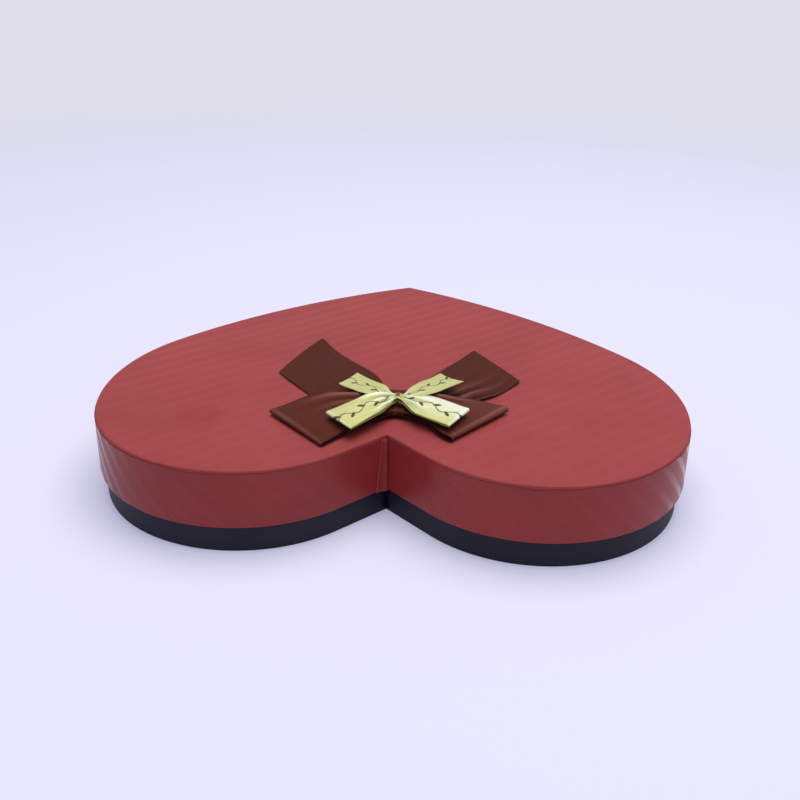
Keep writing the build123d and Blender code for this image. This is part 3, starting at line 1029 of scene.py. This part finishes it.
brownTails = {
    "brownTailLeft": {
        **brownTail,
        "reach": 68.0, "bearing": 133.6, "heading": 125.0, "straight": 50.0, "edge": 69.0, "endBow": 1.8,
        "rearOpen": [(0.0, 0.0), (0.25, 0.05), (0.56, 0.84), (0.85, 0.82), (1.0, 0.9)],
        "frontOpen": [(0.0, 0.0), (0.07, 0.0), (0.55, 1.1), (1.0, 1.05)],
        "rearLift": [(0.0, 0.0), (0.3, 0.0), (0.57, 0.6), (0.85, -0.5), (1.0, 0.25)],
        "frontLift": [(0.0, 0.0), (0.4, 0.0), (0.64, -0.2), (1.0, 0.1)],
        "heights": [(0.0, 1.2), (0.15, 1.2), (0.45, 0.6), (1.0, 0.5)],
        "curl": 0.2, "lean": 0.2, "pleats": 4.4, "pleatShift": 1.0, "pleatReach": 0.7, "pleatLean": -1.0,
    },
    "brownTailRight": {
        **brownTail,
        "reach": 62.2, "bearing": 47.0, "heading": 58.0, "straight": 44.0, "edge": 123.6, "endBow": 0.8,
        "rearOpen": [(0.0, 0.0), (0.1, 0.0), (0.8, 0.84), (1.0, 0.92)],
        "frontOpen": [(0.0, 0.0), (0.3, 0.1), (0.78, 0.98), (1.0, 0.98)],
        "rearLift": level,
        "frontLift": [(0.0, 0.0), (0.45, 0.2), (0.66, 0.5), (0.84, -0.35), (1.0, 0.25)],
        "heights": [(0.0, 1.2), (0.15, 1.0), (0.45, 0.7), (1.0, 0.7)],
        "curl": 0.3, "lean": 0.1, "pleats": 4.6, "pleatShift": 2.4, "pleatReach": 1.15, "pleatLean": -0.9,
    },
}
yellowLoop = {
    "over": [(0.0, 7.0), (0.08, 7.05), (0.45, 8.2), (1.0, 7.2)],
    "under": [(0.0, 6.2), (0.4, 6.0), (1.0, 5.8)],
    "rearRound": 0.6, "droop": 0.3, "knotLift": 0.9, "pleatReach": 0.6, "pleatLean": 0.0,
}
yellowLoops = {
    "yellowLoopLeft": {
        **yellowLoop,
        "reach": 31.8, "bearing": 225.5, "edge": 133.9, "opening": 0.42, "frontRound": 0.3,
        "rearRise": [(0.0, 0.0), (0.06, 0.1), (0.25, 1.2), (0.6, 0.3), (1.0, 0.1)],
        "frontDrop": [(0.0, 0.0), (0.2, 0.2), (0.5, 1.3), (1.0, 1.1)],
        "rim": 0.12, "paintedSheen": 0.08, "belly": 0.3,
        "pleatShading": 1.0, "pleats": 2.6, "pleatShift": 5.2, "pleatDepth": 0.8,
    },
    "yellowLoopRight": {
        **yellowLoop,
        "reach": 30.4, "bearing": -31.6, "edge": 61.0, "opening": 0.45, "frontRound": 0.8,
        "rearRise": [(0.0, 0.0), (1.0, 0.1)],
        "frontDrop": [(0.0, 0.0), (0.2, 0.5), (0.5, 1.85), (1.0, 1.0)],
        "rim": 0.1, "paintedSheen": 0.38, "belly": 0.5,
        "pleatShading": 0.5, "pleats": 2.4, "pleatShift": 2.2, "pleatDepth": 0.7,
    },
}
yellowTail = {
    "rearLift": level, "frontLift": level, "curl": 0.2,
    "pleatShading": 0.6, "pleats": 2.4, "pleatDepth": 0.4, "pleatReach": 0.6, "pleatLean": 0.0,
}
yellowTails = {
    "yellowTailLeft": {
        **yellowTail,
        "reach": 30.5, "bearing": 138.7, "heading": 134.0, "straight": 16.0, "edge": 67.6, "endBow": -0.4,
        "rearOpen": [(0.0, 0.0), (0.1, 0.12), (0.5, 0.55), (1.0, 1.0)],
        "frontOpen": [(0.0, 0.0), (0.03, 0.0), (0.6, 0.9), (1.0, 1.0)],
        "heights": [(0.0, 5.4), (0.1, 5.45), (0.4, 6.2), (1.0, 4.8)], "lean": -1.0, "pleatShift": 0.4,
    },
    "yellowTailRight": {
        **yellowTail,
        "reach": 32.7, "bearing": 47.2, "heading": 50.0, "straight": 16.5, "edge": 130.0, "endBow": -1.0,
        "rearOpen": [(0.0, 0.0), (0.3, 0.24), (0.65, 0.66), (1.0, 1.0)],
        "frontOpen": [(0.0, 0.0), (0.03, 0.0), (0.56, 0.88), (1.0, 1.0)],
        "heights": [(0.0, 5.4), (0.1, 5.45), (0.4, 6.2), (1.0, 5.4)], "lean": -1.2, "pleatShift": 1.8,
    },
}


def makeBowHalves(halves, ribbon, placeMaker, counts, material, slot, node):
    for name, half in halves.items():
        placeAt, length = placeMaker(ribbon, half)
        piece = gridSheet(name, counts, placeAt, ribbon["sheet"], material, slot, node)


makeBowHalves(
    brownTails, brownRibbon, tailPlace, (60, 40), brownSatin,
    "brown_satin", "brown_tail_ribbon",
)
makeBowHalves(
    brownLoops, brownRibbon, loopPlace, (116, 64), brownSatin,
    "brown_satin", "brown_loop_ribbon",
)
makeBowHalves(
    yellowTails, yellowRibbon, tailPlace, (44, 24), yellowBack,
    "yellow_satin", "yellow_tail_ribbon",
)
makeBowHalves(
    yellowLoops, yellowRibbon, loopPlace, (90, 24), yellowSatin,
    "yellow_satin", "yellow_loop_ribbon",
)
print("ribbons made")

centreBand = {
    "depth": 20.6,
    "bottom": 0.7,
    "top": 4.1,
    "width": 9.0,
    "flatWidth": 11.0,
    "pleats": 3,
    "pleatDepth": 0.12,
    "pleatShading": 0.12,
    "edgeSink": 0.25,
}
goldTie = {
    "depth": 7.4,
    "bottom": 4.95,
    "top": 7.45,
    "width": 1.7,
    "strands": 4,
    "strandHeight": 0.16,
    "sink": 0.1,
    "turns": 6,
    "sheet": 0.2,
}


def ringPoint(setup, share):
    # round a flat ring, rounded at its front and back, starting underneath
    radius = (setup["top"] - setup["bottom"]) / 2
    straight = setup["depth"] - 2 * radius
    lap = 2 * straight + 2 * math.pi * radius
    run = share * lap
    middle = (setup["top"] + setup["bottom"]) / 2
    if run < straight:
        return Vector((run - straight / 2, setup["bottom"])), Vector((0, -1)), lap
    run -= straight
    if run < math.pi * radius:
        out = turn(-90 + math.degrees(run / radius))
        return Vector((straight / 2, middle)) + out * radius, out, lap
    run -= math.pi * radius
    if run < straight:
        return Vector((straight / 2 - run, setup["top"])), Vector((0, 1)), lap
    run -= straight
    out = turn(90 + math.degrees(run / radius))
    return Vector((-straight / 2, middle)) + out * radius, out, lap


def onKnot(ribbon, setup, at, across):
    knot = ribbon["knot"]
    return Vector((knot[0] + across * setup["width"] / 2, knot[1] + at.x, lidTop + at.y)) * mm


def makeCentreBand(setup):
    def placeAt(share, across):
        at, out, lap = ringPoint(setup, share)
        ridge = math.cos(math.pi * setup["pleats"] * across)
        edge = -setup["edgeSink"] * smooth(0.75, 1.0, abs(across))
        at = at + out * (ridge * setup["pleatDepth"] + edge)
        flat = (share * lap * mm, across * setup["flatWidth"] / 2 * mm)
        # the ridges are painted with a highlight and the hollows between them with shade
        return onKnot(brownRibbon, setup, at, across), flat, setup["pleatShading"] * ridge

    piece = gridSheet(
        "brownCentreBand", (80, 24), placeAt, brownRibbon["sheet"], brownSatin,
        "brown_satin", "brown_centre_band",
    )
    lap = ringPoint(setup, 0.0)[2]


def makeGoldTie(setup):
    def placeAt(share, across):
        at, out, lap = ringPoint(setup, share)
        twist = across * setup["strands"] * math.pi / 2 + share * 2 * math.pi * setup["turns"]
        at = at + out * (abs(math.cos(twist)) * setup["strandHeight"] - setup["sink"])
        flat = (share * lap * mm, across * setup["width"] / 2 * mm)
        return onKnot(yellowRibbon, setup, at, across), flat, 0.0

    gridSheet("goldTie", (72, 20), placeAt, setup["sheet"], goldThread, "gold_tie", "yellow_tie")


makeCentreBand(centreBand)
makeGoldTie(goldTie)
print("knots made")

# Finishes of the CAD nodes that stay as they are
cadFinishes = {
    "base_bottom_sheet": blackPaper,
    "base_bottom_board": greyBoard,
    "base_wall_left": greyBoard,
    "base_wall_right": greyBoard,
    "base_floor_lining": liningPaper,
    "base_wall_lining": liningPaper,
    "lid_top_board": greyBoard,
    "lid_wall_left": greyBoard,
    "lid_wall_right": greyBoard,
    "lid_lining": liningPaper,
    "brown_glue_dab": setGlue,
    "yellow_glue_dab": setGlue,
}
for nodeName, finish in cadFinishes.items():
    for materialSlot in nodes[nodeName].material_slots:
        materialSlot.material = finish
print("CAD finishes set")

# Stage: a plain pale table that takes the backdrop's tone far off
stageSetup = {
    "size": 10.0,
    "drop": 0.00005,
    "table": tone(242, 236, 243),
    "shade": tone(214, 217, 255),
    "shadeShare": 0.38,
    "far": tone(223, 222, 232),
    "fade": (0.25, 0.9),
}


def shownShare(tree):
    # 1 for what the view, a mirror or glass shows, 0 for light falling on the object
    path = addNode(tree, "ShaderNodeLightPath")
    shown = calc(tree, "MAXIMUM", path.outputs["Is Camera Ray"], path.outputs["Is Glossy Ray"])
    return calc(tree, "MAXIMUM", shown, path.outputs["Is Transmission Ray"])


def makeStage(setup):
    plane = bpy.ops.mesh.primitive_plane_add
    floor = addPiece("floor", plane, size=setup["size"], location=(0, 0, -setup["drop"]))
    made, tree, shader = newMaterial("paleTable")
    away = addNode(tree, "ShaderNodeVectorMath", operation="LENGTH")
    tree.links.new(objectPlace(tree), away.inputs[0])
    beyond = rampTo(tree, away.outputs["Value"], *setup["fade"])
    fill(tree, shader, {"Base Color": setup["table"], "Roughness": 0.6, "Specular IOR Level": 0.1})
    # shadows on the table stay light, and far off it takes the backdrop's tone
    glow = addNode(tree, "ShaderNodeEmission")
    tree.links.new(mixColour(tree, beyond, setup["shade"], setup["far"]), glow.inputs["Color"])
    own = calc(tree, "MAXIMUM", beyond, setup["shadeShare"])
    share = calc(tree, "MULTIPLY", shownShare(tree), own)
    choose = addNode(tree, "ShaderNodeMixShader")
    tree.links.new(share, choose.inputs[0])
    tree.links.new(shader.outputs[0], choose.inputs[1])
    tree.links.new(glow.outputs[0], choose.inputs[2])
    tree.links.new(choose.outputs[0], tree.nodes["Material Output"].inputs["Surface"])
    floor.data.materials.append(made)


lightSetup = {
    "overhead": {"place": (0.1, 0.02, 1.2), "size": 1.1, "power": 14.3, "aim": (0.0, 0.0, 0.0)},
    "lampTint": (1.0, 0.985, 0.955),
    "world": tone(212, 221, 255),
    "worldStrength": 0.44,
    "backdrop": tone(223, 222, 232),
}


def addLights(setup):
    lamp = setup["overhead"]
    bpy.ops.object.light_add(type="AREA", location=lamp["place"])
    light = bpy.context.object
    light.name = "overhead"
    light.data.shape = "SQUARE"
    light.data.size = lamp["size"]
    light.data.energy = lamp["power"]
    light.data.color = setup["lampTint"]
    away = Vector(lamp["aim"]) - Vector(lamp["place"])
    light.rotation_euler = away.to_track_quat("-Z", "Y").to_euler()
    world = bpy.data.worlds.new("studio")
    bpy.context.scene.world = world
    world.use_nodes = True
    tree = world.node_tree
    tree.nodes.clear()
    seen = addNode(tree, "ShaderNodeBackground")
    fill(tree, seen, {"Color": setup["backdrop"]})
    lit = addNode(tree, "ShaderNodeBackground")
    fill(tree, lit, {"Color": setup["world"], "Strength": setup["worldStrength"]})
    choose = addNode(tree, "ShaderNodeMixShader")
    tree.links.new(shownShare(tree), choose.inputs[0])
    tree.links.new(lit.outputs[0], choose.inputs[1])
    tree.links.new(seen.outputs[0], choose.inputs[2])
    end = addNode(tree, "ShaderNodeOutputWorld")
    tree.links.new(choose.outputs[0], end.inputs[0])


makeStage(stageSetup)
addLights(lightSetup)
bpy.context.scene.view_settings.view_transform = "Standard"
print("stage and lights set")
